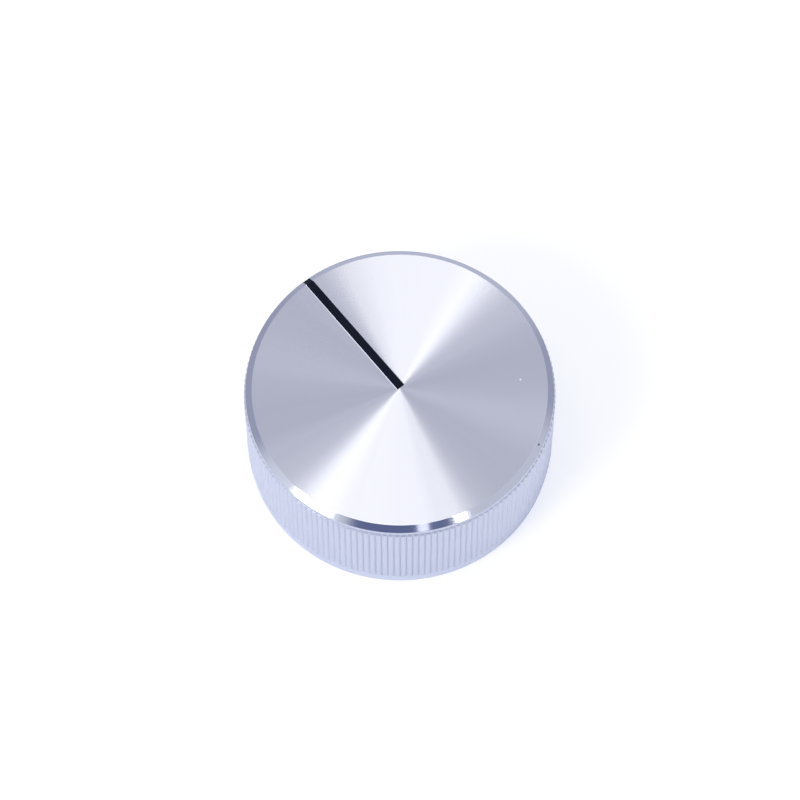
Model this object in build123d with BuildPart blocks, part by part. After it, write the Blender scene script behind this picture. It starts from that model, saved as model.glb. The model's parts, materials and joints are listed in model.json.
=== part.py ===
"""Turned aluminium control knob with a straight knurl, a pointer line and a set screw.

The knob stands on its rim, with its axis on Z and the centre of its underside at the origin.
The pointer line runs from the axis towards +Y, and the set screw lies under it.
"""

import os
from math import pi, radians, tan

from build123d import *

os.makedirs("parts", exist_ok=True)

# Overall sizes of the turned body
knob_height = 17.0
knurl_diameter = 40.0
base_edge_break = 0.15

# Knurl: ridges rolled up out of the plain bands above and below it
knurl_pitch = 0.8
ridge_height = 0.2
groove_angle = 90.0
groove_root_rise = 0.02
lower_band_height = 1.7
upper_band_height = 0.6

# Bright chamfer between the top face and the upper band
chamfer_width = 0.85
chamfer_height = 0.6

# Shaft seat on the underside: nut recess, bore and drill point
shaft_diameter = 6.0
shaft_clearance = 0.05
bore_cover = 4.5
bore_mouth_chamfer = 0.4
drill_point_angle = 118.0
nut_recess_diameter = 16.0
nut_recess_depth = 3.0
nut_recess_edge_break = 0.3

# Pointer line: a milled slot filled with enamel that lies a little below the metal
line_width = 1.0
line_depth = 0.8
line_side_offset = 0.2
enamel_recess = 0.05

# Set screw in a tapped hole across the body
screw_diameter = 2.9
screw_play = 0.05
screw_length = 6.0
screw_below_bore_end = 4.5
screw_setback = 0.15
screw_end_chamfer = 0.35
screw_cup_diameter = 1.5
screw_cup_angle = 90.0
socket_width = 1.5
socket_depth = 2.0
hole_countersink = 0.3

# Overrun of every cut past the surface that it leaves
cut_overrun = 0.1

# Radii and levels that follow from the sizes above
crest_radius = knurl_diameter / 2
band_radius = crest_radius - ridge_height
top_edge_radius = band_radius - chamfer_width
chamfer_level = knob_height - chamfer_height
knurl_top = chamfer_level - upper_band_height
knurl_bottom = lower_band_height
bore_radius = (shaft_diameter + shaft_clearance) / 2
bore_depth = knob_height - bore_cover
drill_point_height = bore_radius / tan(radians(drill_point_angle / 2))
recess_radius = nut_recess_diameter / 2
screw_radius = screw_diameter / 2
screw_height = bore_depth - screw_below_bore_end
screw_hole_radius = screw_radius + screw_play
screw_tip = bore_radius + screw_setback
screw_head = screw_tip + screw_length
screw_cup_radius = screw_cup_diameter / 2
screw_cup_depth = screw_cup_radius / tan(radians(screw_cup_angle / 2))
tooth_count = round(pi * knurl_diameter / knurl_pitch)
groove_depth = ridge_height - groove_root_rise
groove_flare = tan(radians(groove_angle / 2))
groove_mouth = (groove_depth + cut_overrun) * groove_flare

# The set screw's axis runs out from the knob's axis along +Y
screw_plane = Plane(origin=(0, 0, screw_height), x_dir=(1, 0, 0), z_dir=(0, 1, 0))
screw_section_plane = Plane(origin=(0, 0, screw_height), x_dir=(0, 1, 0), z_dir=(1, 0, 0))

# Turned body: half section revolved round Z, then knurled, slotted and drilled
with BuildPart() as knob_body:
    with BuildSketch(Plane.XZ):
        with BuildLine():
            Polyline(
                (recess_radius + nut_recess_edge_break, 0),
                (band_radius - base_edge_break, 0),
                (band_radius, base_edge_break),
                (band_radius, knurl_bottom),
                (crest_radius, knurl_bottom + ridge_height),
                (crest_radius, knurl_top - ridge_height),
                (band_radius, knurl_top),
                (band_radius, chamfer_level),
                (top_edge_radius, knob_height),
                (0, knob_height),
                (0, bore_depth + drill_point_height),
                (bore_radius, bore_depth),
                (bore_radius, nut_recess_depth + bore_mouth_chamfer),
                (bore_radius + bore_mouth_chamfer, nut_recess_depth),
                (recess_radius, nut_recess_depth),
                (recess_radius, nut_recess_edge_break),
                close=True,
            )
        make_face()
    revolve(axis=Axis.Z)
    # Straight knurl: one V groove for each pitch of the circumference
    with BuildSketch(Plane.XY.offset(knurl_bottom)):
        with PolarLocations(crest_radius, tooth_count):
            Polygon(
                (-groove_depth, 0),
                (cut_overrun, -groove_mouth),
                (cut_overrun, groove_mouth),
                align=None,
            )
    extrude(amount=knurl_top - knurl_bottom, mode=Mode.SUBTRACT)
    # Slot of the pointer line, from the axis out through the chamfer
    with BuildSketch(Plane.XY.offset(knob_height)):
        with Locations((line_side_offset, 0)):
            Rectangle(line_width, crest_radius + cut_overrun, align=(Align.CENTER, Align.MIN))
    extrude(amount=-line_depth, mode=Mode.SUBTRACT)
    # Cross hole of the set screw, from the bore out through the knurl, with a countersunk mouth
    with BuildSketch(screw_plane):
        Circle(screw_hole_radius)
    extrude(amount=crest_radius + cut_overrun, mode=Mode.SUBTRACT)
    with Locations(screw_plane.offset(crest_radius - hole_countersink)):
        Cone(
            bottom_radius=screw_hole_radius,
            top_radius=screw_hole_radius + hole_countersink + cut_overrun,
            height=hole_countersink + cut_overrun,
            align=(Align.CENTER, Align.CENTER, Align.MIN),
            mode=Mode.SUBTRACT,
        )

# Enamel of the pointer line: the slot's own outline, trimmed to lie just under the turned surfaces
with BuildPart() as pointer_line:
    with BuildSketch(Plane.XY.offset(knob_height - line_depth)):
        with Locations((line_side_offset, 0)):
            Rectangle(line_width, crest_radius + cut_overrun, align=(Align.CENTER, Align.MIN))
    extrude(amount=line_depth - enamel_recess)
    with BuildSketch(Plane.XZ):
        with BuildLine():
            Polyline(
                (0, 0),
                (band_radius - enamel_recess, 0),
                (band_radius - enamel_recess, chamfer_level),
                (top_edge_radius - enamel_recess, knob_height),
                (0, knob_height),
                close=True,
            )
        make_face()
    revolve(axis=Axis.Z, mode=Mode.INTERSECT)

# Set screw: half section revolved round its own axis, with a cup point inside and a socket outside
with BuildPart() as set_screw:
    with BuildSketch(screw_section_plane):
        with BuildLine():
            Polyline(
                (screw_tip + screw_cup_depth, 0),
                (screw_tip, screw_cup_radius),
                (screw_tip, screw_radius - screw_end_chamfer),
                (screw_tip + screw_end_chamfer, screw_radius),
                (screw_head - screw_end_chamfer, screw_radius),
                (screw_head, screw_radius - screw_end_chamfer),
                (screw_head, 0),
                close=True,
            )
        make_face()
    revolve(axis=Axis(screw_plane.origin, screw_plane.z_dir))
    with BuildSketch(screw_plane.offset(screw_head)):
        RegularPolygon(socket_width / 2, side_count=6, major_radius=False)
    extrude(amount=-socket_depth, mode=Mode.SUBTRACT)

knob_body.part.label = "knob_body"
pointer_line.part.label = "pointer_line"
set_screw.part.label = "set_screw"

export_step(knob_body.part, "parts/knob_body.step")
export_step(pointer_line.part, "parts/pointer_line.step")
export_step(set_screw.part, "parts/set_screw.step")
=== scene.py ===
"""Looks of a turned aluminium control knob: knurl, chamfer, spun top, pointer line and set screw."""

import json
import math
from typing import NamedTuple

import bmesh
import bpy
from mathutils import Matrix, Vector


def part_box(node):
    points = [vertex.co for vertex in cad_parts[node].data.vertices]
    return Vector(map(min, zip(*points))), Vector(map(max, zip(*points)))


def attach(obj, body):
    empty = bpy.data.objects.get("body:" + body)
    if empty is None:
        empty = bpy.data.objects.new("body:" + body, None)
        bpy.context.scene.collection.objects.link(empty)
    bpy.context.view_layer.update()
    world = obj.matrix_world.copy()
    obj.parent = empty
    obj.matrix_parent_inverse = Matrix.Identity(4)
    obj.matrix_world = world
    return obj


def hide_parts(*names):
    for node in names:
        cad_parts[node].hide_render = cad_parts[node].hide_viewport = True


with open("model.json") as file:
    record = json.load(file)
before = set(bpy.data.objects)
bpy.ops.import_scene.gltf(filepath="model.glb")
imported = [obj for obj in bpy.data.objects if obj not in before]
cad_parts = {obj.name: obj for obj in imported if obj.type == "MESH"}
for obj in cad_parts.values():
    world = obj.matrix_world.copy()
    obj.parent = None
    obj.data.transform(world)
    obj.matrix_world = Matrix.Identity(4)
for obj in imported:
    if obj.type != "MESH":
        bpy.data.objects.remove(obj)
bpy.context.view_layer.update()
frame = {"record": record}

bl_info = {
    "name": "Knurled control knob",
    "version": (1, 0, 0),
    "blender": (4, 5, 0),
    "location": "View3D > Sidebar > Knob",
    "description": "Dresses a packed control knob: turned body, enamel line, set screw and studio",
    "category": "Add Mesh",
}

MM = 0.001
BODY = "root"
COLUMN_STEP = "column_step"
BODY_LOW, BODY_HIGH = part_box("knob_body")
LINE_LOW, LINE_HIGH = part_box("pointer_line")
SCREW_LOW, SCREW_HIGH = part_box("set_screw")
BORE = next(mount for mount in frame["record"]["mounts"] if mount["name"] == "shaft_bore")
BORE_RADIUS = BORE["dims"]["r_mm"] * MM
BORE_HALF = BORE["dims"]["length_mm"] * MM / 2
BORE_MOUTH = BORE["pos_m"][2] - BORE_HALF
BORE_END = BORE["pos_m"][2] + BORE_HALF
# Points closer than this become one
MERGE_DISTANCE = 1e-7


def length(name, description, default):
    """A length property, in metres."""
    return bpy.props.FloatProperty(
        name=name, description=description, default=default, unit="LENGTH", precision=5
    )


def angle(name, description, degrees):
    """An angle property, given in degrees."""
    return bpy.props.FloatProperty(
        name=name, description=description, default=math.radians(degrees), unit="ROTATION"
    )


def number(name, description, default):
    """A plain number property."""
    return bpy.props.FloatProperty(name=name, description=description, default=default)


def colour(name, description, default):
    """A linear colour property."""
    return bpy.props.FloatVectorProperty(
        name=name, description=description, default=default, size=3, min=0, max=1, subtype="COLOR"
    )


def place(name, description, default):
    """A place on the knob, in metres."""
    return bpy.props.FloatVectorProperty(
        name=name, description=description, default=default, size=3, subtype="TRANSLATION", precision=5
    )


class KnobBodySizes(bpy.types.PropertyGroup):
    """Sizes of the turned body."""

    teeth: bpy.props.IntProperty(
        name="Teeth", description="Grooves of the knurl in one turn", default=157, min=12
    )
    columns_per_tooth: bpy.props.IntProperty(
        name="Columns per tooth", description="Mesh columns across one pitch of the knurl", default=12, min=4
    )
    ridge_height: length("Ridge height", "Crests of the knurl above the plain bands", 0.2 * MM)
    root_rise: length("Root rise", "Groove roots above the plain bands", 0.02 * MM)
    groove_angle: angle("Groove angle", "Angle between the two flanks of a groove", 90)
    crest_rounding: length("Crest rounding", "Depth over which the crests' edges are rounded", 0.2 * MM)
    lower_band: length("Lower band", "Height of the plain band under the knurl", 1.7 * MM)
    upper_band: length("Upper band", "Height of the plain band over the knurl", 0.6 * MM)
    chamfer_width: length("Chamfer width", "Bright chamfer, measured inwards", 0.85 * MM)
    chamfer_height: length("Chamfer height", "Bright chamfer, measured downwards", 0.6 * MM)
    base_break: length("Base edge", "Broken edge at the foot", 0.15 * MM)
    recess_radius: length("Nut recess radius", "Radius of the nut recess underneath", 8 * MM)
    recess_depth: length("Nut recess depth", "Depth of the nut recess underneath", 3 * MM)
    recess_break: length("Nut recess edge", "Broken edge of the nut recess", 0.3 * MM)
    drill_point: angle("Drill point", "Full angle of the drill point at the end of the bore", 118)
    chamfer_rounding: length("Chamfer rounding", "Radius of the chamfer's two edges", 0.07 * MM)
    edge_rounding: length("Edge rounding", "Radius of the other turned edges", 0.05 * MM)
    line_depth: length("Slot depth", "Depth of the pointer line's slot", 0.8 * MM)
    line_break_width: length("Slot edge width", "Broken edges of the pointer line's slot, across", 0.12 * MM)
    line_break_depth: length("Slot edge depth", "Broken edges of the pointer line's slot, down", 0.0335 * MM)
    thread_pitch: length("Thread pitch", "Pitch of the set screw's thread", 0.5 * MM)
    thread_depth: length("Thread depth", "Depth of the set screw's thread", 0.24 * MM)
    thread_play: length("Thread play", "Radial play of the screw in its hole", 0.05 * MM)
    countersink: length("Countersink", "Countersunk mouth of the set screw's hole", 0.3 * MM)


class KnobScrewSizes(bpy.types.PropertyGroup):
    """Sizes of the set screw."""

    socket_width: length("Socket width", "Hexagon socket across its flats", 1.5 * MM)
    socket_depth: length("Socket depth", "Depth of the hexagon socket", 2 * MM)
    end_chamfer: length("End chamfer", "Chamfer at both ends", 0.35 * MM)
    cup_radius: length("Cup radius", "Radius of the cup at the tip", 0.75 * MM)


class KnobLineSizes(bpy.types.PropertyGroup):
    """Sizes of the enamel line."""

    recess: length("Recess", "How far the enamel's edges lie under the top", 0.017 * MM)
    sag: length("Sag", "How far the enamel sinks in the middle of its slot", 0.02 * MM)
    across: bpy.props.IntProperty(
        name="Points across", description="Mesh points across the enamel", default=9, min=3
    )


class KnobFinishes(bpy.types.PropertyGroup):
    """Colours of the finishes."""

    spun: colour("Spun top", "Clear anodised, spun top face", (0.64, 0.65, 0.71))
    bright: colour("Bright chamfer", "Metal cut after anodising", (0.68, 0.7, 0.78))
    # The bands and the knurl are one clear anodised metal; the knurl's darker colour is painted shade of its
    # grooves
    band: colour("Satin band", "Clear anodised plain bands", (0.618, 0.649, 0.772))
    knurl: colour("Rolled knurl", "Clear anodised knurl", (0.585, 0.614, 0.731))
    turned: colour("Turned underside", "Turned metal underneath", (0.60, 0.61, 0.64))
    enamel: colour("Enamel", "Black enamel of the pointer line", (0.0034, 0.006, 0.0157))
    black_steel: colour("Black steel", "Blackened steel of the set screw", (0.035, 0.035, 0.038))
    dust: colour("Dust", "White speck of dust on the top", (0.9, 0.9, 0.9))
    dust_spot: place("Dust spot", "Where the speck of dust lies", (12.84 * MM, -8.72 * MM, 17 * MM))
    dust_radius: length("Dust radius", "Radius of the speck of dust", 0.15 * MM)
    # A dark, dull, non-metallic speck coloured onto the chamfer; no hollow is modelled under it
    dark_speck: colour("Pit", "Dark pit in the chamfer", (0.12, 0.12, 0.14))
    dark_speck_spot: place("Pit spot", "Where the pit lies", (8.98 * MM, -17.07 * MM, 16.7 * MM))
    dark_speck_radius: length("Pit radius", "Radius of the pit", 0.2 * MM)


class KnobStage(bpy.types.PropertyGroup):
    """Camera, floor and lights."""

    camera_azimuth: angle("Camera azimuth", "Way the camera stands round the knob", -38.6)
    camera_elevation: angle("Camera elevation", "Camera above the floor", 66.13)
    camera_distance: length("Camera distance", "Camera from its target", 550 * MM)
    lens: number("Lens", "Focal length in millimetres", 187.1)
    target_right: length("Target right", "Camera target to the right of the axis", 0.034 * MM)
    target_ahead: length("Target ahead", "Camera target behind the axis, on the floor", 5.85 * MM)
    floor: colour("Floor", "Pale floor", (0.9, 0.9, 0.91))
    floor_radius: length("Floor radius", "Radius of the pale floor", 130 * MM)
    shadow: colour("Shadow", "Share of the floor's brightness that a shadow can take", (0.46, 0.42, 0.19))
    mirrored_shadow: colour(
        "Mirrored shadow", "The same share where metal mirrors the floor", (0.97, 0.97, 0.92)
    )
    floor_gain: number("Floor gain", "How strongly the floor gives back the light that falls on it", 1.07)
    room: colour("Room", "Light from the rest of the room", (0.43, 0.45, 0.56))
    back_wall: colour("Back wall", "Light from behind and above the knob", (0.73, 0.75, 0.86))
    horizon: colour("Horizon", "Light from low behind the knob", (0.64, 0.66, 0.77))
    right_wall: colour("Right wall", "Light from the right", (0.7, 0.72, 0.81))
    overhead: number("Overhead", "Brightness of the two wedges of light overhead", 1.5)
    overhead_heading: angle("Overhead heading", "Middle of the nearer wedge, from the camera's side", -6.7)
    overhead_spread: angle("Overhead spread", "Angle between the sides of each wedge", 53.4)
    left_glow: colour("Left glow", "Light spilling round the left softbox", (0.85, 0.88, 0.95))
    dark_front: colour("Dark front", "Shade where the camera stands", (0.15, 0.18, 0.33))


# Node helpers


def node(tree, kind, feeds=None, **settings):
    """Adds a node with its settings. Each feed is a socket to link or a value to set."""
    made = tree.nodes.new(kind)
    for name, value in settings.items():
        setattr(made, name, value)
    for key, value in (feeds or {}).items():
        if isinstance(value, bpy.types.NodeSocket):
            tree.links.new(value, made.inputs[key])
        else:
            made.inputs[key].default_value = value
    return made


def calc(tree, operation, *values):
    """A math node's result."""
    return node(tree, "ShaderNodeMath", dict(enumerate(values)), operation=operation).outputs[0]


def vector_calc(tree, operation, *values):
    """A vector math node's result, a number where the operation gives one."""
    made = node(tree, "ShaderNodeVectorMath", dict(enumerate(values)), operation=operation)
    gives_number = operation in ("LENGTH", "DISTANCE", "DOT_PRODUCT")
    return made.outputs["Value" if gives_number else "Vector"]


def flattened(tree, way):
    """A vector without its height."""
    return vector_calc(tree, "MULTIPLY", way, (1, 1, 0))


def named_inputs(tree, rows):
    """Declares a tree's inputs from (name, socket type) rows and returns their sockets inside the tree."""
    for name, kind in rows:
        tree.interface.new_socket(name, in_out="INPUT", socket_type="NodeSocket" + kind)
    return node(tree, "NodeGroupInput").outputs


# Geometry node trees


def grooved_turning_tree():
    """Turns a half section round Z and cuts V grooves into it, straight ones or a helix."""
    tree = bpy.data.node_groups.new("Grooved turning", "GeometryNodeTree")
    given = named_inputs(
        tree,
        [
            ("Half Section", "Geometry"),
            ("Columns", "Int"),
            ("Grooves per Turn", "Float"),
            ("Grooves per Metre", "Float"),
            ("Groove Pitch", "Float"),
            ("Root Radius", "Float"),
            ("Crest Radius", "Float"),
            ("Crest Rounding", "Float"),
            ("Flank Slope", "Float"),
            ("Material", "Material"),
        ],
    )
    tree.interface.new_socket("Geometry", in_out="OUTPUT", socket_type="NodeSocketGeometry")
    # One row of the grid for each point of the section, one column for each step of the turn
    count = node(tree, "GeometryNodeAttributeDomainSize", {0: given["Half Section"]}).outputs["Point Count"]
    around = calc(tree, "ADD", given["Columns"], 1)
    grid = node(tree, "GeometryNodeMeshGrid", {"Vertices X": count, "Vertices Y": around}).outputs[0]
    index = node(tree, "GeometryNodeInputIndex").outputs[0]
    row = calc(tree, "FLOOR", calc(tree, "DIVIDE", index, around))
    here = node(tree, "GeometryNodeInputPosition").outputs[0]
    feeds = {"Geometry": given["Half Section"], "Value": here, "Index": row}
    sample = node(tree, "GeometryNodeSampleIndex", feeds, data_type="FLOAT_VECTOR").outputs[0]
    section = node(tree, "ShaderNodeSeparateXYZ", {0: sample}).outputs
    # A row with a column step above 1 folds that many columns into one, which the merge below joins
    kept = node(tree, "GeometryNodeInputNamedAttribute", {"Name": COLUMN_STEP}, data_type="INT").outputs[0]
    feeds = {"Geometry": given["Half Section"], "Value": kept, "Index": row}
    step = node(tree, "GeometryNodeSampleIndex", feeds, data_type="INT").outputs[0]
    column = calc(tree, "SUBTRACT", index, calc(tree, "MULTIPLY", row, around))
    column = calc(tree, "MULTIPLY", calc(tree, "FLOOR", calc(tree, "DIVIDE", column, step)), step)
    turn = calc(tree, "DIVIDE", column, given["Columns"])
    # Distance to the nearest groove root, and the flank's radius there
    straight = calc(tree, "MULTIPLY", turn, given["Grooves per Turn"])
    rising = calc(tree, "MULTIPLY", section["Z"], given["Grooves per Metre"])
    phase = calc(tree, "FRACT", calc(tree, "SUBTRACT", straight, rising))
    nearest = calc(tree, "MINIMUM", phase, calc(tree, "SUBTRACT", 1, phase))
    reach = calc(tree, "MULTIPLY", nearest, given["Groove Pitch"])
    flank = calc(tree, "ADD", given["Root Radius"], calc(tree, "MULTIPLY", reach, given["Flank Slope"]))
    tooth = calc(tree, "SMOOTH_MIN", flank, given["Crest Radius"], given["Crest Rounding"])
    radius = calc(tree, "MINIMUM", section["X"], tooth)
    swing = calc(tree, "MULTIPLY", turn, math.tau)
    spot = node(
        tree,
        "ShaderNodeCombineXYZ",
        {
            "X": calc(tree, "MULTIPLY", radius, calc(tree, "COSINE", swing)),
            "Y": calc(tree, "MULTIPLY", radius, calc(tree, "SINE", swing)),
            "Z": section["Z"],
        },
    ).outputs[0]
    turned = node(tree, "GeometryNodeSetPosition", {"Geometry": grid, "Position": spot}).outputs[0]
    # The seam and the two poles close here
    feeds = {"Geometry": turned, "Distance": MERGE_DISTANCE}
    closed = node(tree, "GeometryNodeMergeByDistance", feeds).outputs[0]
    smooth = node(tree, "GeometryNodeSetShadeSmooth", {0: closed}).outputs[0]
    real = node(tree, "GeometryNodeRealizeInstances", {0: smooth}).outputs[0]
    feeds = {"Geometry": real, "Material": given["Material"]}
    dressed = node(tree, "GeometryNodeSetMaterial", feeds).outputs[0]
    node(tree, "NodeGroupOutput", {0: dressed})
    return tree


# A face whose normal rises less than the first looks down, and one that rises more than the second is level
DOWNWARD_RISE = -0.9
LEVEL_RISE = 0.9995


def finish_zones_tree():
    """Gives the turned body the finishes of its zones, over the finish of its plain bands."""
    tree = bpy.data.node_groups.new("Finish zones", "GeometryNodeTree")
    given = named_inputs(
        tree,
        [
            ("Geometry", "Geometry"),
            ("Underside Radius", "Float"),
            ("Knurl Radius", "Float"),
            ("Chamfer Level", "Float"),
            ("Knurl", "Material"),
            ("Underside", "Material"),
            ("Chamfer", "Material"),
            ("Top", "Material"),
        ],
    )
    tree.interface.new_socket("Geometry", in_out="OUTPUT", socket_type="NodeSocketGeometry")
    here = node(tree, "GeometryNodeInputPosition").outputs[0]
    level = node(tree, "ShaderNodeSeparateXYZ", {0: here}).outputs["Z"]
    radius = vector_calc(tree, "LENGTH", flattened(tree, here))
    normal = node(tree, "GeometryNodeInputNormal").outputs[0]
    rise = node(tree, "ShaderNodeSeparateXYZ", {0: normal}).outputs["Z"]
    rolled = calc(tree, "GREATER_THAN", radius, given["Knurl Radius"])
    inside = calc(tree, "LESS_THAN", radius, given["Underside Radius"])
    under = calc(tree, "MAXIMUM", inside, calc(tree, "LESS_THAN", rise, DOWNWARD_RISE))
    above = calc(tree, "GREATER_THAN", level, given["Chamfer Level"])
    top = calc(tree, "MULTIPLY", above, calc(tree, "GREATER_THAN", rise, LEVEL_RISE))
    shape = given["Geometry"]
    for zone, name in ((rolled, "Knurl"), (under, "Underside"), (above, "Chamfer"), (top, "Top")):
        feeds = {"Geometry": shape, "Selection": zone, "Material": given[name]}
        shape = node(tree, "GeometryNodeSetMaterial", feeds).outputs[0]
    real = node(tree, "GeometryNodeRealizeInstances", {0: shape}).outputs[0]
    node(tree, "NodeGroupOutput", {0: real})
    return tree


def use_tree(thing, tree, **values):
    """Puts a tree on an object as a modifier, its inputs set by their sockets' identifiers."""
    modifier = thing.modifiers.new(tree.name, "NODES")
    modifier.node_group = tree
    for item in tree.interface.items_tree:
        key = item.name.lower().replace(" ", "_")
        if item.in_out == "INPUT" and key in values:
            modifier[item.identifier] = values[key]
    return modifier


def shared_tree(make, name):
    """The named node group, made on first use."""
    return bpy.data.node_groups.get(name) or make()


# Mesh helpers


def new_object(name, mesh):
    """A new object in the scene, at the origin."""
    thing = bpy.data.objects.new(name, mesh)
    bpy.context.scene.collection.objects.link(thing)
    return thing


def drop(thing):
    """Removes a helper object and its mesh."""
    mesh = thing.data
    bpy.data.objects.remove(thing)
    bpy.data.meshes.remove(mesh)


def settle(thing):
    """Turns an object with modifiers into the plain mesh that they give."""
    graph = bpy.context.evaluated_depsgraph_get()
    plain = bpy.data.meshes.new_from_object(thing.evaluated_get(graph))
    old = thing.data
    thing.modifiers.clear()
    thing.data = plain
    plain.name = thing.name
    bpy.data.meshes.remove(old)


def crease(mesh, degrees):
    """Shades a mesh smooth up to an angle, and sharp past it and where two finishes meet."""
    mesh.shade_smooth()
    mesh.set_sharp_from_angle(angle=math.radians(degrees))
    shape = bmesh.new()
    shape.from_mesh(mesh)
    for edge in shape.edges:
        if len({face.material_index for face in edge.link_faces}) > 1:
            edge.smooth = False
    shape.to_mesh(mesh)
    shape.free()


class Corner(NamedTuple):
    """A corner of a half section, with its rounding as a radius and a number of facets."""

    radius: float
    level: float
    rounding: float = 0.0
    facets: int = 0
    column_step: int = 1

    @property
    def spot(self):
        return Vector((self.radius, self.level))


def rounded(corners, hold):
    """A half section with its roundings worked out as arcs, as plain corners.

    A point at the hold distance on either side of an arc keeps the flat next to it flat in the shading.
    """
    points = [corners[0]]
    for before, corner, after in zip(corners, corners[1:], corners[2:]):
        if not corner.facets:
            points.append(corner)
            continue
        back = (before.spot - corner.spot).normalized()
        ahead = (after.spot - corner.spot).normalized()
        half = back.angle(ahead) / 2
        tangent = corner.rounding / math.tan(half)
        centre = corner.spot + (back + ahead).normalized() * (corner.rounding / math.sin(half))
        start = corner.spot + back * tangent - centre
        finish = corner.spot + ahead * tangent - centre
        turns = [start.slerp(finish, step / corner.facets) for step in range(corner.facets + 1)]
        run = [corner.spot + back * (tangent + hold)]
        run += [centre + turn * corner.rounding for turn in turns]
        run.append(corner.spot + ahead * (tangent + hold))
        points += [Corner(*spot, column_step=corner.column_step) for spot in run]
    points.append(corners[-1])
    return points


def turned_object(name, points, material, columns, grooves=None):
    """An object with the grooved turning tree on a half section of plain corners."""
    mesh = bpy.data.meshes.new(name)
    edges = [(step, step + 1) for step in range(len(points) - 1)]
    mesh.from_pydata([(point.radius, 0, point.level) for point in points], edges, [])
    steps = mesh.attributes.new(COLUMN_STEP, "INT", "POINT")
    steps.data.foreach_set("value", [point.column_step for point in points])
    thing = new_object(name, mesh)
    # Without grooves, their roots and crests lie outside the section and cut nothing
    reach = 2 * max(point.radius for point in points)
    plain = {
        "grooves_per_turn": 1.0,
        "grooves_per_metre": 0.0,
        "groove_pitch": 0.0,
        "root_radius": reach,
        "crest_radius": reach,
        "crest_rounding": 0.0,
        "flank_slope": 0.0,
    }
    tree = shared_tree(grooved_turning_tree, "Grooved turning")
    use_tree(thing, tree, columns=columns, material=material, **(grooves or plain))
    return thing


def cut(thing, cutter):
    """Cuts a closed object out of another."""
    modifier = thing.modifiers.new(cutter.name, "BOOLEAN")
    modifier.operation = "DIFFERENCE"
    modifier.object = cutter
    modifier.solver = "MANIFOLD"
    modifier.material_mode = "TRANSFER"


def slot_cutter(name, low, high, top, broken_edge, finishes):
    """A cutter for a straight slot along Y, with finishes for its walls and its two broken top edges."""
    width, depth = broken_edge
    flare = width * (high.z - top + depth) / depth
    section = [
        (low.x, low.z),
        (low.x, top - depth),
        (low.x - flare, high.z),
        (high.x + flare, high.z),
        (high.x, top - depth),
        (high.x, low.z),
    ]
    shape = bmesh.new()
    near = [shape.verts.new((x, low.y, z)) for x, z in section]
    far = [shape.verts.new((x, high.y, z)) for x, z in section]
    shape.faces.new(near)
    shape.faces.new(far)
    for step in range(len(section)):
        side = shape.faces.new((near[step - 1], near[step], far[step], far[step - 1]))
        broken = section[step - 1][0] != section[step][0] and section[step - 1][1] != section[step][1]
        side.material_index = int(broken)
    bmesh.ops.recalc_face_normals(shape, faces=shape.faces)
    mesh = bpy.data.meshes.new(name)
    shape.to_mesh(mesh)
    shape.free()
    for material in finishes:
        mesh.materials.append(material)
    return new_object(name, mesh)


# Shader node groups


def turning_marks_group():
    """Fine rings round Z, from their spacing along the radius and down the side."""
    tree = bpy.data.node_groups.new("Turning marks", "ShaderNodeTree")
    given = named_inputs(tree, [("Rings per Metre", "Float"), ("Detail", "Float")])
    for name in ("Height", "Value"):
        tree.interface.new_socket(name, in_out="OUTPUT", socket_type="NodeSocketFloat")
    here = node(tree, "ShaderNodeTexCoord").outputs["Object"]
    radius = vector_calc(tree, "LENGTH", flattened(tree, here))
    level = node(tree, "ShaderNodeSeparateXYZ", {0: here}).outputs["Z"]
    along = calc(tree, "MULTIPLY", calc(tree, "SUBTRACT", radius, level), given["Rings per Metre"])
    feeds = {"W": along, "Scale": 1.0, "Detail": given["Detail"], "Roughness": 0.7}
    noise = node(tree, "ShaderNodeTexNoise", feeds, noise_dimensions="1D").outputs[0]
    node(tree, "NodeGroupOutput", {"Height": noise, "Value": noise})
    return tree


def anodised_grain_group():
    """The faint mottle and pitting of an anodised surface."""
    tree = bpy.data.node_groups.new("Anodised grain", "ShaderNodeTree")
    given = named_inputs(tree, [("Scale", "Float")])
    for name in ("Height", "Value"):
        tree.interface.new_socket(name, in_out="OUTPUT", socket_type="NodeSocketFloat")
    here = node(tree, "ShaderNodeTexCoord").outputs["Object"]
    feeds = {"Vector": here, "Scale": given["Scale"], "Detail": 4.0}
    fine = node(tree, "ShaderNodeTexNoise", feeds).outputs[0]
    broad_share = 0.06
    feeds = {"Vector": here, "Scale": calc(tree, "MULTIPLY", given["Scale"], broad_share), "Detail": 2.0}
    broad = node(tree, "ShaderNodeTexNoise", feeds).outputs[0]
    average = calc(tree, "DIVIDE", calc(tree, "ADD", fine, broad), 2)
    node(tree, "NodeGroupOutput", {"Height": fine, "Value": average})
    return tree


def speck_group():
    """Mask of one small speck with an uneven edge."""
    tree = bpy.data.node_groups.new("Speck", "ShaderNodeTree")
    given = named_inputs(tree, [("Spot", "Vector"), ("Radius", "Float")])
    tree.interface.new_socket("Mask", in_out="OUTPUT", socket_type="NodeSocketFloat")
    here = node(tree, "ShaderNodeTexCoord").outputs["Object"]
    away = vector_calc(tree, "DISTANCE", here, given["Spot"])
    noise = node(tree, "ShaderNodeTexNoise", {"Vector": here, "Scale": 7000.0}).outputs[0]
    # The noise is about a half, so the distance stays as it is on average
    lift = 0.5
    uneven = calc(tree, "MULTIPLY", away, calc(tree, "ADD", noise, lift))
    core_share = 0.6
    core = calc(tree, "MULTIPLY", given["Radius"], core_share)
    feeds = {"Value": uneven, "From Min": given["Radius"], "From Max": core}
    node(tree, "NodeGroupOutput", {0: node(tree, "ShaderNodeMapRange", feeds).outputs[0]})
    return tree


def group_node(tree, make, name, feeds):
    """A shared shader group placed in a material."""
    placed = node(tree, "ShaderNodeGroup", node_tree=shared_tree(make, name))
    for key, value in feeds.items():
        placed.inputs[key].default_value = value
    return placed.outputs


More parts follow.
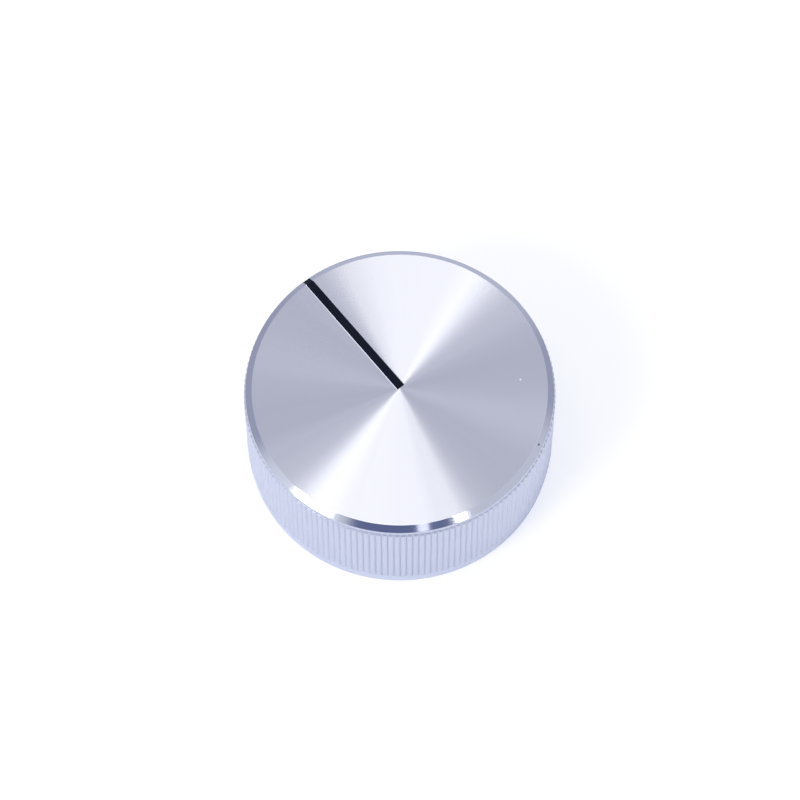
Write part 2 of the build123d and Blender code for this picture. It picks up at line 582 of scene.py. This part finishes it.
def turning_marks(tree, rings_per_metre):
    """The turning marks, placed in a material."""
    feeds = {"Rings per Metre": rings_per_metre, "Detail": 2.0}
    return group_node(tree, turning_marks_group, "Turning marks", feeds)


def anodised_grain(tree, scale):
    """The anodised grain, placed in a material."""
    return group_node(tree, anodised_grain_group, "Anodised grain", {"Scale": scale})


def spread(tree, value, low, high):
    """Maps a 0 to 1 value onto a range."""
    return node(tree, "ShaderNodeMapRange", {"Value": value, "To Min": low, "To Max": high}).outputs[0]


def shaded(tree, value, tint, depth):
    """A colour that darkens a little where the value is low."""
    dark = [channel * (1 - depth) for channel in tint]
    feeds = {"Factor": value, "A": (*dark, 1), "B": (*tint, 1)}
    return node(tree, "ShaderNodeMix", feeds, data_type="RGBA").outputs["Result"]


def new_material(name):
    """An empty material with a principled shader, and its tree."""
    material = bpy.data.materials.new(name)
    material.use_nodes = True
    tree = material.node_tree
    tree.nodes.clear()
    shader = node(tree, "ShaderNodeBsdfPrincipled")
    node(tree, "ShaderNodeOutputMaterial", {"Surface": shader.outputs[0]})
    return material, tree, shader


def link(tree, shader, **feeds):
    """Links sockets to a shader's inputs, named with underscores for spaces."""
    for name, socket in feeds.items():
        tree.links.new(socket, shader.inputs[name.replace("_", " ")])


def bumped(tree, height, distance):
    """A bump's normal."""
    return node(tree, "ShaderNodeBump", {"Height": height, "Distance": distance}).outputs[0]


def textured(tree, shader, texture, tint, depth, roughness, bump):
    """Gives a shader a texture's colour, its range of roughness and its bump."""
    link(
        tree,
        shader,
        Base_Color=shaded(tree, texture["Value"], tint, depth),
        Roughness=spread(tree, texture["Value"], *roughness),
        Normal=bumped(tree, texture["Height"], bump),
    )


def speckled(tree, shader, spot, radius, tint, colour_in, roughness_in):
    """Puts one speck over a metal: its own colour, not metallic and dull."""
    mask = group_node(tree, speck_group, "Speck", {"Spot": spot, "Radius": radius})["Mask"]
    feeds = {"Factor": mask, "A": colour_in, "B": (*tint, 1)}
    dull = 0.85
    link(
        tree,
        shader,
        Base_Color=node(tree, "ShaderNodeMix", feeds, data_type="RGBA").outputs["Result"],
        Metallic=calc(tree, "SUBTRACT", 1, mask),
        Roughness=node(tree, "ShaderNodeMix", {0: mask, 2: roughness_in, 3: dull}).outputs[0],
    )


def spun_top_material(finishes):
    """Clear anodised face with the fine rings of spinning, which fan out the light."""
    material, tree, shader = new_material("spun_top")
    shader.inputs["Anisotropic"].default_value = 1.0
    marks = turning_marks(tree, rings_per_metre=9000.0)
    here = node(tree, "ShaderNodeTexCoord").outputs["Object"]
    outward = vector_calc(tree, "NORMALIZE", flattened(tree, here))
    link(tree, shader, Tangent=outward)
    # Faint rays, where the spinning pressed unevenly round the face
    rays = node(tree, "ShaderNodeTexNoise", {"Vector": outward, "Scale": 7.0, "Detail": 5.0}).outputs[0]
    ring_share = 0.2
    ringed = node(tree, "ShaderNodeMix", {0: ring_share, 2: rays, 3: marks["Value"]}).outputs[0]
    speckled(
        tree,
        shader,
        finishes.dust_spot,
        finishes.dust_radius,
        finishes.dust,
        shaded(tree, ringed, finishes.spun, depth=0.12),
        spread(tree, rays, low=0.23, high=0.29),
    )
    return material


def bright_chamfer_material(finishes):
    """Metal cut by a diamond after anodising, almost a mirror."""
    material, tree, shader = new_material("bright_chamfer")
    marks = turning_marks(tree, rings_per_metre=14000.0)
    link(tree, shader, Normal=bumped(tree, marks["Height"], distance=0.0002 * MM))
    speckled(
        tree,
        shader,
        # The dark speck is only colour on the chamfer, with no hollow under it
        finishes.dark_speck_spot,
        finishes.dark_speck_radius,
        finishes.dark_speck,
        shaded(tree, marks["Value"], finishes.bright, depth=0.04),
        spread(tree, marks["Value"], low=0.07, high=0.11),
    )
    return material


def satin_material(name, tint, roughness):
    """Clear anodised metal of the knurl or the plain bands, between two values of roughness. The knurl's
    darker tint is painted shade of its grooves.
    """
    material, tree, shader = new_material(name)
    shader.inputs["Metallic"].default_value = 1.0
    grain = anodised_grain(tree, scale=6000.0)
    textured(tree, shader, grain, tint, depth=0.08, roughness=roughness, bump=0.004 * MM)
    return material


def turned_underside_material(tint):
    """Plain turned metal of the underside, the bore and the slot."""
    material, tree, shader = new_material("turned_underside")
    shader.inputs["Metallic"].default_value = 1.0
    marks = turning_marks(tree, rings_per_metre=5000.0)
    textured(tree, shader, marks, tint, depth=0.15, roughness=(0.25, 0.42), bump=0.006 * MM)
    return material


def enamel_material(tint):
    """Black enamel, poured and cured, with a soft shine."""
    material, tree, shader = new_material("black_enamel")
    shader.inputs["Specular IOR Level"].default_value = 0.08
    grain = anodised_grain(tree, scale=3000.0)
    textured(tree, shader, grain, tint, depth=0.3, roughness=(0.25, 0.45), bump=0.004 * MM)
    return material


def black_steel_material(tint):
    """Blackened and oiled steel."""
    material, tree, shader = new_material("black_steel")
    shader.inputs["Metallic"].default_value = 1.0
    grain = anodised_grain(tree, scale=4000.0)
    textured(tree, shader, grain, tint, depth=0.4, roughness=(0.3, 0.5), bump=0.003 * MM)
    return material


# Pieces


# Mesh steps of a thread along one pitch, and columns round the threads and the countersink
THREAD_STEPS = 8
THREAD_COLUMNS = 32
MOUTH_COLUMNS = 48
# Mesh rings on the flat top and foot, as shares of the plain bands' radius
TOP_SHARES = (0.3, 0.65)
TOP_RIM_SHARE = 0.88
FOOT_RIM_SHARE = 0.9
FOOT_SHARE = 0.7
# Columns for each tooth near the rim and at the turned edges. The flat middle has one for each tooth
RIM_COLUMNS = 3
EDGE_COLUMNS = 6
# Facets of the rounded edges
CHAMFER_FACETS = 4
EDGE_FACETS = 2
# Sides of the set screw's socket
HEXAGON = 6


def screw_axis_matrix():
    """Turns a piece made round Z so that it lies along the set screw's axis, +Z becoming +Y."""
    centre = (SCREW_LOW.z + SCREW_HIGH.z) / 2
    return Matrix.Translation((0, 0, centre)) @ Matrix.Rotation(-math.pi / 2, 4, "X")


def thread_grooves(sizes, crest_radius):
    """Groove inputs of a thread whose crests have the given radius."""
    return {
        "grooves_per_turn": 1.0,
        "grooves_per_metre": 1 / sizes.thread_pitch,
        "groove_pitch": sizes.thread_pitch,
        "root_radius": crest_radius - sizes.thread_depth,
        "crest_radius": crest_radius,
        "crest_rounding": sizes.thread_depth / 2,
        "flank_slope": 2 * sizes.thread_depth / sizes.thread_pitch,
    }


def threaded_rod(name, sizes, ends, crest_radius, material):
    """A closed threaded rod along the set screw's axis, from half section points at its two ends."""
    first, last = ends
    start = first[-1].level
    run = last[0].level - start
    steps = math.ceil(run / sizes.thread_pitch * THREAD_STEPS)
    middle = [Corner(crest_radius, start + run * step / steps) for step in range(1, steps)]
    points = [*first, *middle, *last][::-1]
    rod = turned_object(name, points, material, THREAD_COLUMNS, thread_grooves(sizes, crest_radius))
    settle(rod)
    rod.data.transform(screw_axis_matrix())
    return rod


def body_section(sizes):
    """Half section of the turned body, from the top's centre round to the end of the bore."""
    crest = BODY_HIGH.y
    height = BODY_HIGH.z
    band = crest - sizes.ridge_height
    chamfer_level = height - sizes.chamfer_height
    knurl_top = chamfer_level - sizes.upper_band
    knurl_bottom = sizes.lower_band
    mouth = BORE_MOUTH - sizes.recess_depth
    point = BORE_RADIUS / math.tan(sizes.drill_point / 2)
    edge = sizes.edge_rounding
    coarse = sizes.columns_per_tooth
    wide = coarse // RIM_COLUMNS
    fine = coarse // EDGE_COLUMNS
    return [
        Corner(0, height, column_step=coarse),
        *(Corner(band * share, height, column_step=coarse) for share in TOP_SHARES),
        Corner(band * TOP_RIM_SHARE, height, column_step=wide),
        Corner(band - sizes.chamfer_width, height, sizes.chamfer_rounding, CHAMFER_FACETS, fine),
        Corner(band, chamfer_level, sizes.chamfer_rounding, CHAMFER_FACETS, fine),
        Corner(band, knurl_top, edge, EDGE_FACETS),
        Corner(crest, knurl_top - sizes.ridge_height, edge, EDGE_FACETS),
        Corner(crest, knurl_bottom + sizes.ridge_height, edge, EDGE_FACETS),
        Corner(band, knurl_bottom, edge, EDGE_FACETS),
        Corner(band, sizes.base_break, edge, EDGE_FACETS, fine),
        Corner(band - sizes.base_break, 0, edge, EDGE_FACETS, fine),
        Corner(band * FOOT_RIM_SHARE, 0, column_step=wide),
        Corner(band * FOOT_SHARE, 0, column_step=coarse),
        Corner(sizes.recess_radius + sizes.recess_break, 0, column_step=coarse),
        Corner(sizes.recess_radius, sizes.recess_break, column_step=coarse),
        Corner(sizes.recess_radius, sizes.recess_depth, column_step=coarse),
        Corner(BORE_RADIUS + mouth, sizes.recess_depth, column_step=coarse),
        Corner(BORE_RADIUS, BORE_MOUTH, column_step=coarse),
        Corner(BORE_RADIUS, BORE_END, column_step=coarse),
        Corner(0, BORE_END + point, column_step=coarse),
    ]


class KNOB_OT_body(bpy.types.Operator):
    """Turns the body from its half section, knurls it, and cuts the slot and the tapped hole"""

    bl_idname = "knob.body"
    bl_label = "Turned body"

    def execute(self, context):
        sizes = context.scene.knob_body
        finishes = context.scene.knob_finishes
        crest = BODY_HIGH.y
        height = BODY_HIGH.z
        band = crest - sizes.ridge_height
        hold = 0.02 * MM
        turned = turned_underside_material(finishes.turned)
        bright = bright_chamfer_material(finishes)
        body = turned_object(
            "turned_body",
            rounded(body_section(sizes), hold),
            satin_material("satin_band", finishes.band, roughness=(0.36, 0.5)),
            sizes.teeth * sizes.columns_per_tooth,
            {
                "grooves_per_turn": float(sizes.teeth),
                "grooves_per_metre": 0.0,
                "groove_pitch": math.tau * crest / sizes.teeth,
                "root_radius": band + sizes.root_rise,
                "crest_radius": crest,
                "crest_rounding": sizes.crest_rounding,
                "flank_slope": 1 / math.tan(sizes.groove_angle / 2),
            },
        )
        use_tree(
            body,
            shared_tree(finish_zones_tree, "Finish zones"),
            underside_radius=sizes.recess_radius + sizes.recess_break + hold,
            knurl_radius=band + sizes.root_rise / 2,
            chamfer_level=height - sizes.chamfer_height - hold,
            # The knurl's darker tint stands in for the shade in its grooves: painted shade
            knurl=satin_material("rolled_knurl", finishes.knurl, roughness=(0.4, 0.54)),
            underside=turned,
            chamfer=bright,
            top=spun_top_material(finishes),
        )
        overrun = MM
        slot = slot_cutter(
            "slot_cutter",
            Vector((LINE_LOW.x, LINE_LOW.y, height - sizes.line_depth)),
            Vector((LINE_HIGH.x, crest + overrun, height + overrun)),
            height,
            (sizes.line_break_width, sizes.line_break_depth),
            (turned, bright),
        )
        hole_radius = (SCREW_HIGH.x - SCREW_LOW.x) / 2 + sizes.thread_play
        inner = BORE_RADIUS / 2
        hole = threaded_rod(
            "hole_cutter",
            sizes,
            (
                (Corner(0, inner), Corner(hole_radius, inner)),
                (Corner(hole_radius, crest + overrun), Corner(0, crest + overrun)),
            ),
            hole_radius,
            turned,
        )
        mouth = turned_object(
            "mouth_cutter",
            [
                Corner(0, crest + sizes.countersink),
                Corner(hole_radius + 2 * sizes.countersink, crest + sizes.countersink),
                Corner(hole_radius - sizes.thread_depth, crest - sizes.countersink - sizes.thread_depth),
                Corner(0, crest - sizes.countersink - sizes.thread_depth),
            ],
            turned,
            MOUTH_COLUMNS,
        )
        settle(mouth)
        mouth.data.transform(screw_axis_matrix())
        for cutter in (slot, hole, mouth):
            cut(body, cutter)
        settle(body)
        for cutter in (slot, hole, mouth):
            drop(cutter)
        crease(body.data, degrees=32)
        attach(body, BODY)
        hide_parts("knob_body")
        return {"FINISHED"}


# Places of the enamel line's mesh rows, as shares of its flat run and of its run down the chamfer
FLAT_SHARES = (0.0, 0.02, 0.3, 0.6, 0.9, 0.995)
SLOPED_SHARES = (0.0, 0.17, 0.33, 0.5, 0.67, 0.83, 1.0)
# The enamel is flat in the middle and turns up at its edges by this power of the distance
SAG_POWER = 4


class KNOB_OT_pointer_line(bpy.types.Operator):
    """Fills the slot with enamel that sinks a little between its walls"""

    bl_idname = "knob.pointer_line"
    bl_label = "Pointer line"

    def execute(self, context):
        sizes = context.scene.knob_line
        body = context.scene.knob_body
        across = sizes.across
        edge_level = BODY_HIGH.z - sizes.recess
        lowest = LINE_LOW.z + sizes.sag
        end = LINE_HIGH.y
        middle = (LINE_LOW.x + LINE_HIGH.x) / 2
        half = (LINE_HIGH.x - LINE_LOW.x) / 2
        # The enamel reaches up into the slot's broken edges, which end at the chamfer
        spill = body.line_break_width * (1 - sizes.recess / body.line_break_depth)
        slope = body.chamfer_height / body.chamfer_width
        bend = BODY_HIGH.y - body.ridge_height - body.chamfer_width - sizes.recess
        flat = [LINE_LOW.y + (bend - LINE_LOW.y) * share for share in FLAT_SHARES]
        sloped = [bend + (end - bend) * share for share in SLOPED_SHARES]
        shape = bmesh.new()
        rows = []
        for station in flat + sloped:
            fall = max(0, station - bend) * slope
            reach = half if station >= bend else half + spill
            row = []
            for step in range(across):
                aside = -1 + 2 * step / (across - 1)
                x = middle + half * aside
                y = min(station, math.sqrt(end * end - x * x))
                dip = sizes.sag * (1 - aside ** SAG_POWER)
                top = (middle + reach * aside, y, max(lowest, edge_level - fall - dip))
                row.append((shape.verts.new(top), shape.verts.new((x, y, LINE_LOW.z))))
            rows.append(row)
        for here, there in zip(rows, rows[1:]):
            for step in range(across - 1):
                a, b, c, d = here[step], here[step + 1], there[step + 1], there[step]
                shape.faces.new((a[0], b[0], c[0], d[0]))
                shape.faces.new((d[1], c[1], b[1], a[1]))
            for edge in (0, across - 1):
                shape.faces.new((here[edge][0], there[edge][0], there[edge][1], here[edge][1]))
        for row in (rows[0], rows[-1]):
            for a, b in zip(row, row[1:]):
                shape.faces.new((a[0], a[1], b[1], b[0]))
        bmesh.ops.recalc_face_normals(shape, faces=shape.faces)
        mesh = bpy.data.meshes.new("enamel_line")
        shape.to_mesh(mesh)
        shape.free()
        crease(mesh, degrees=30)
        mesh.materials.append(enamel_material(context.scene.knob_finishes.enamel))
        line = new_object("enamel_line", mesh)
        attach(line, BODY)
        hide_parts("pointer_line")
        return {"FINISHED"}


class KNOB_OT_set_screw(bpy.types.Operator):
    """Makes the threaded set screw with its cup point and hexagon socket"""

    bl_idname = "knob.set_screw"
    bl_label = "Set screw"

    def execute(self, context):
        sizes = context.scene.knob_screw
        thread = context.scene.knob_body
        steel = black_steel_material(context.scene.knob_finishes.black_steel)
        radius = (SCREW_HIGH.x - SCREW_LOW.x) / 2
        tip = SCREW_LOW.y
        head = SCREW_HIGH.y
        chamfer = sizes.end_chamfer
        screw = threaded_rod(
            "grub_screw",
            thread,
            (
                (
                    Corner(0, tip + sizes.cup_radius),
                    Corner(sizes.cup_radius, tip),
                    Corner(radius - chamfer, tip),
                    Corner(radius, tip + chamfer),
                ),
                (Corner(radius, head - chamfer), Corner(radius - chamfer, head), Corner(0, head)),
            ),
            radius,
            steel,
        )
        socket = bmesh.new()
        corner = sizes.socket_width / 2 / math.cos(math.pi / HEXAGON)
        bmesh.ops.create_cone(
            socket,
            cap_ends=True,
            segments=HEXAGON,
            radius1=corner,
            radius2=corner,
            depth=2 * sizes.socket_depth,
            matrix=Matrix.Translation((0, 0, head)),
        )
        mesh = bpy.data.meshes.new("socket_cutter")
        socket.to_mesh(mesh)
        socket.free()
        mesh.materials.append(steel)
        mesh.transform(screw_axis_matrix())
        cutter = new_object("socket_cutter", mesh)
        cut(screw, cutter)
        settle(screw)
        drop(cutter)
        crease(screw.data, degrees=40)
        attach(screw, BODY)
        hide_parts("set_screw")
        return {"FINISHED"}


# Stage


def floor_material(stage):
    """A pale floor that shows white and keeps the knob's soft shadow, more of it in the metal's mirror."""
    material = bpy.data.materials.new("pale_floor")
    material.use_nodes = True
    tree = material.node_tree
    tree.nodes.clear()
    rays = node(tree, "ShaderNodeLightPath").outputs
    seen = calc(tree, "MAXIMUM", rays["Is Camera Ray"], rays["Is Glossy Ray"])
    seen = calc(tree, "MAXIMUM", seen, rays["Is Transmission Ray"])
    feeds = {"Factor": rays["Is Glossy Ray"], "A": (*stage.shadow, 1), "B": (*stage.mirrored_shadow, 1)}
    part = node(tree, "ShaderNodeMix", feeds, data_type="RGBA").outputs["Result"]
    feeds = {0: part, "Scale": stage.floor_gain}
    raised = node(tree, "ShaderNodeVectorMath", feeds, operation="SCALE").outputs[0]
    lit = node(tree, "ShaderNodeBsdfDiffuse", {"Color": raised}).outputs[0]
    rest = vector_calc(tree, "SUBTRACT", (1, 1, 1), part)
    glow = node(tree, "ShaderNodeEmission", {"Color": rest}).outputs[0]
    shown = node(tree, "ShaderNodeAddShader", {0: lit, 1: glow}).outputs[0]
    plain = node(tree, "ShaderNodeBsdfDiffuse", {"Color": (*stage.floor, 1)}).outputs[0]
    mixed = node(tree, "ShaderNodeMixShader", {0: seen, 1: plain, 2: shown}).outputs[0]
    node(tree, "ShaderNodeOutputMaterial", {"Surface": mixed})
    return material


def towards(heading, rise):
    """Unit vector of a heading, counted round Z from -Y to the right, and a rise above the floor."""
    return Vector((math.sin(heading) * math.cos(rise), -math.cos(heading) * math.cos(rise), math.sin(rise)))


# Tint of the overhead light
WARM = (1.0, 0.97, 0.85)
# The overhead wedges fade in and out with their reach from the mirrored spot, on a sky of radius 1 seen from
# above, and fade in with their height on that sky
WEDGE_START = (0.05, 0.15)
WEDGE_END = (0.85, 0.7)
WEDGE_HEIGHT = (0.55, 0.75)
WEDGE_EDGE = math.radians(1)


def soft_step(tree, value, low, high):
    """Goes smoothly from 0 to 1 as the value goes from low to high."""
    feeds = {"Value": value, "From Min": low, "From Max": high}
    return node(tree, "ShaderNodeMapRange", feeds, interpolation_type="SMOOTHSTEP").outputs[0]


def overhead_mask(tree, way, stage):
    """Two wedges of the sky that meet point to point at the spot that the top mirrors to the camera.

    The spun top turns them into its two wide fans.
    """
    mirrored = towards(stage.camera_azimuth + math.pi, stage.camera_elevation)
    middle = towards(stage.camera_azimuth + stage.overhead_heading, 0)
    flat = flattened(tree, vector_calc(tree, "SUBTRACT", way, mirrored))
    reach = vector_calc(tree, "LENGTH", flat)
    side = vector_calc(tree, "NORMALIZE", flat)
    turn = calc(tree, "ABSOLUTE", vector_calc(tree, "DOT_PRODUCT", side, middle))
    height = node(tree, "ShaderNodeSeparateXYZ", {0: way}).outputs["Z"]
    half = stage.overhead_spread / 2
    sector = soft_step(tree, turn, math.cos(half + WEDGE_EDGE), math.cos(half - WEDGE_EDGE))
    ring = calc(tree, "MULTIPLY", soft_step(tree, reach, *WEDGE_START), soft_step(tree, reach, *WEDGE_END))
    ring = calc(tree, "MULTIPLY", ring, soft_step(tree, height, *WEDGE_HEIGHT))
    return calc(tree, "MULTIPLY", sector, ring)


class Patch(NamedTuple):
    """A soft round patch of the room's light: its middle from the camera's side, and its edge, in degrees."""

    tint: tuple
    heading: float
    rise: float
    inner: float
    outer: float


def studio_world(stage):
    """White for the camera, and for everything else a plain room with soft patches of light and shade."""
    world = bpy.data.worlds.new("studio")
    world.use_nodes = True
    tree = world.node_tree
    tree.nodes.clear()
    way = node(tree, "ShaderNodeTexCoord").outputs["Generated"]
    light = node(tree, "ShaderNodeRGB").outputs[0]
    light.default_value = (*stage.room, 1)
    patches = (
        Patch(stage.back_wall, heading=180, rise=66, inner=30, outer=50),
        Patch(stage.horizon, heading=172, rise=0, inner=10, outer=45),
        Patch(stage.right_wall, heading=65, rise=35, inner=22, outer=45),
        Patch(stage.left_glow, heading=-62, rise=37, inner=8, outer=32),
        Patch(stage.dark_front, heading=2, rise=42, inner=19, outer=26),
    )
    for patch in patches:
        middle = towards(stage.camera_azimuth + math.radians(patch.heading), math.radians(patch.rise))
        near = vector_calc(tree, "DOT_PRODUCT", way, middle)
        mask = soft_step(tree, near, math.cos(math.radians(patch.outer)), math.cos(math.radians(patch.inner)))
        feeds = {"Factor": mask, "A": light, "B": (*patch.tint, 1)}
        light = node(tree, "ShaderNodeMix", feeds, data_type="RGBA").outputs["Result"]
    warm = [stage.overhead * part for part in WARM]
    feeds = {"Factor": overhead_mask(tree, way, stage), "A": light, "B": (*warm, 1)}
    light = node(tree, "ShaderNodeMix", feeds, data_type="RGBA", blend_type="ADD").outputs["Result"]
    camera = node(tree, "ShaderNodeLightPath").outputs["Is Camera Ray"]
    room = node(tree, "ShaderNodeBackground", {"Color": light}).outputs[0]
    white = node(tree, "ShaderNodeBackground", {"Color": (1, 1, 1, 1)}).outputs[0]
    mixed = node(tree, "ShaderNodeMixShader", {0: camera, 1: room, 2: white}).outputs[0]
    node(tree, "ShaderNodeOutputWorld", {"Surface": mixed})
    return world


class Softbox(NamedTuple):
    """A rectangular lamp: its place from the camera's side in degrees and metres, and its light."""

    name: str
    heading: float
    rise: float
    distance: float
    width: float
    tall: float
    brightness: float
    tint: tuple = (1.0, 1.0, 1.0)
    spin: float = 0.0


# Distances of the softboxes from the knob
FAR = 2.5
NEAR = 0.8
SOFTBOXES = (
    # Overhead, each turned so that its sides point at the spot that the top mirrors to the camera
    Softbox(
        "overhead_left_strip", heading=-99.0, rise=74.32, distance=FAR,
        width=0.118, tall=0.65, brightness=5.8, tint=WARM, spin=-116.5,
    ),
    Softbox(
        "overhead_right_strip", heading=87.8, rise=79.52, distance=FAR,
        width=0.021, tall=0.65, brightness=24.0, tint=WARM, spin=115.7,
    ),
    Softbox(
        "overhead_back_fill", heading=138.8, rise=63.77, distance=FAR,
        width=0.248, tall=0.65, brightness=0.67, spin=114.85,
    ),
    # Behind on the right, seen in the slot's near edge
    Softbox(
        "back_right_softbox", heading=148.9, rise=36.8, distance=FAR,
        width=0.23, tall=1.0, brightness=1.3, spin=142.5,
    ),
    # In front, seen in the chamfer
    Softbox("left_softbox", heading=-51.5, rise=40, distance=NEAR, width=0.25, tall=0.3, brightness=11.0),
    Softbox("right_strip", heading=35.5, rise=41, distance=NEAR, width=0.06, tall=0.3, brightness=7.0),
    Softbox("front_strip", heading=13.5, rise=44, distance=NEAR, width=0.07, tall=0.3, brightness=1.1),
)
# Mesh sides of the round floor, and the camera's sensor in millimetres and its range in metres
FLOOR_SEGMENTS = 96
SENSOR_WIDTH = 36
CLIP_START = 0.01
CLIP_END = 20


def softbox(shape, facing):
    """Adds a softbox, aimed at the knob and turned round its beam by its spin."""
    lamp = bpy.data.lights.new(shape.name, "AREA")
    lamp.shape = "RECTANGLE"
    lamp.size = shape.width
    lamp.size_y = shape.tall
    lamp.energy = shape.brightness * math.pi * shape.width * shape.tall
    lamp.color = shape.tint
    thing = new_object(shape.name, lamp)
    away = towards(facing + math.radians(shape.heading), math.radians(shape.rise))
    thing.location = Vector((0, 0, BODY_HIGH.z)) + away * shape.distance
    spin = Matrix.Rotation(math.radians(shape.spin), 3, "Z")
    turned = (-away).to_track_quat("-Z", "Y").to_matrix() @ spin
    thing.rotation_euler = turned.to_euler()
    thing.visible_camera = False


class KNOB_OT_stage(bpy.types.Operator):
    """Sets up the floor, the soft studio light and the camera"""

    bl_idname = "knob.stage"
    bl_label = "Stage"

    def execute(self, context):
        scene = context.scene
        stage = scene.knob_stage
        facing = stage.camera_azimuth
        scene.view_settings.view_transform = "Standard"
        scene.world = studio_world(stage)
        mesh = bpy.data.meshes.new("floor")
        shape = bmesh.new()
        bmesh.ops.create_circle(shape, cap_ends=True, segments=FLOOR_SEGMENTS, radius=stage.floor_radius)
        shape.to_mesh(mesh)
        shape.free()
        mesh.materials.append(floor_material(stage))
        floor = new_object("floor", mesh)
        for lamp in SOFTBOXES:
            softbox(lamp, facing)
        data = bpy.data.cameras.new("camera")
        data.lens = stage.lens
        data.sensor_width = SENSOR_WIDTH
        data.clip_start = CLIP_START
        data.clip_end = CLIP_END
        camera = new_object("camera", data)
        aside = Vector((stage.target_right, stage.target_ahead, 0))
        target = Matrix.Rotation(facing, 3, "Z") @ aside
        back = towards(facing, stage.camera_elevation)
        camera.location = target + back * stage.camera_distance
        camera.rotation_euler = (-back).to_track_quat("-Z", "Y").to_euler()
        scene.camera = camera
        return {"FINISHED"}


class KNOB_PT_panel(bpy.types.Panel):
    """Lists the knob's operators and sizes"""

    bl_idname = "KNOB_PT_panel"
    bl_label = "Knurled control knob"
    bl_space_type = "VIEW_3D"
    bl_region_type = "UI"
    bl_category = "Knob"

    def draw(self, context):
        layout = self.layout
        for operator in OPERATORS:
            layout.operator(operator.bl_idname)
        for name in GROUPS:
            box = layout.box()
            group = getattr(context.scene, name)
            for prop in group.bl_rna.properties:
                if prop.identifier not in ("rna_type", "name"):
                    box.prop(group, prop.identifier)


OPERATORS = (KNOB_OT_body, KNOB_OT_pointer_line, KNOB_OT_set_screw, KNOB_OT_stage)
GROUPS = {
    "knob_body": KnobBodySizes,
    "knob_screw": KnobScrewSizes,
    "knob_line": KnobLineSizes,
    "knob_finishes": KnobFinishes,
    "knob_stage": KnobStage,
}


def register():
    for group in GROUPS.values():
        bpy.utils.register_class(group)
    for name, group in GROUPS.items():
        setattr(bpy.types.Scene, name, bpy.props.PointerProperty(type=group))
    for operator in OPERATORS:
        bpy.utils.register_class(operator)
    bpy.utils.register_class(KNOB_PT_panel)


def unregister():
    bpy.utils.unregister_class(KNOB_PT_panel)
    for operator in reversed(OPERATORS):
        bpy.utils.unregister_class(operator)
    for name, group in GROUPS.items():
        delattr(bpy.types.Scene, name)
        bpy.utils.unregister_class(group)


def main():
    """Registers the classes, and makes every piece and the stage."""
    register()
    bpy.ops.knob.body()
    bpy.ops.knob.pointer_line()
    bpy.ops.knob.set_screw()
    bpy.ops.knob.stage()


if __name__ == "__main__":
    main()
